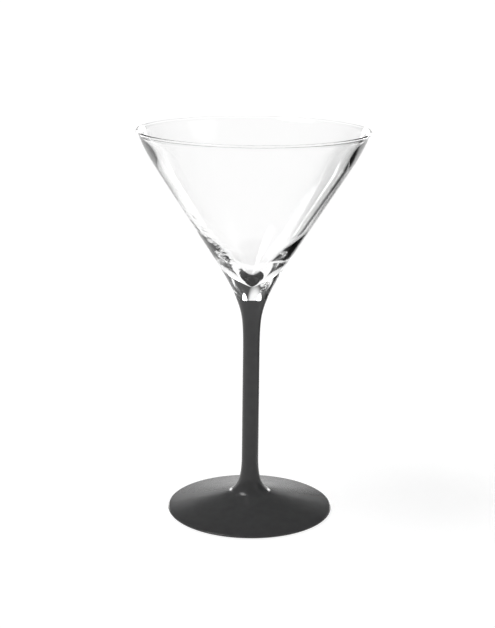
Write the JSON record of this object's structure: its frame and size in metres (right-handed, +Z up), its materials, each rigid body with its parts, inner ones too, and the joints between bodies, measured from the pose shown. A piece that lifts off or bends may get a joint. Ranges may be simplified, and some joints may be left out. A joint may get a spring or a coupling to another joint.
{
  "type": "martini glass",
  "caption": "Stemmed cocktail glass with a clear conical bowl, a slender black-lacquered stem and a wide, shallow black-lacquered foot.",
  "frame": {"origin": "centre of the plane that the foot rests on", "axes": "+Z up along the axis that every piece is turned about, from the foot to the rim; +X and +Y are any two directions across it"},
  "size_m": [0.111, 0.111, 0.19],
  "materials": {
    "clear_glass": "clear, fire-polished, smooth",
    "black_lacquer": "opaque black lacquer, semi-gloss, smooth"
  },
  "bodies": {
    "root": {"bowl": "clear_glass", "stem": "clear_glass", "foot": "clear_glass", "lacquer_film": "black_lacquer"}
  },
  "joints": []
}
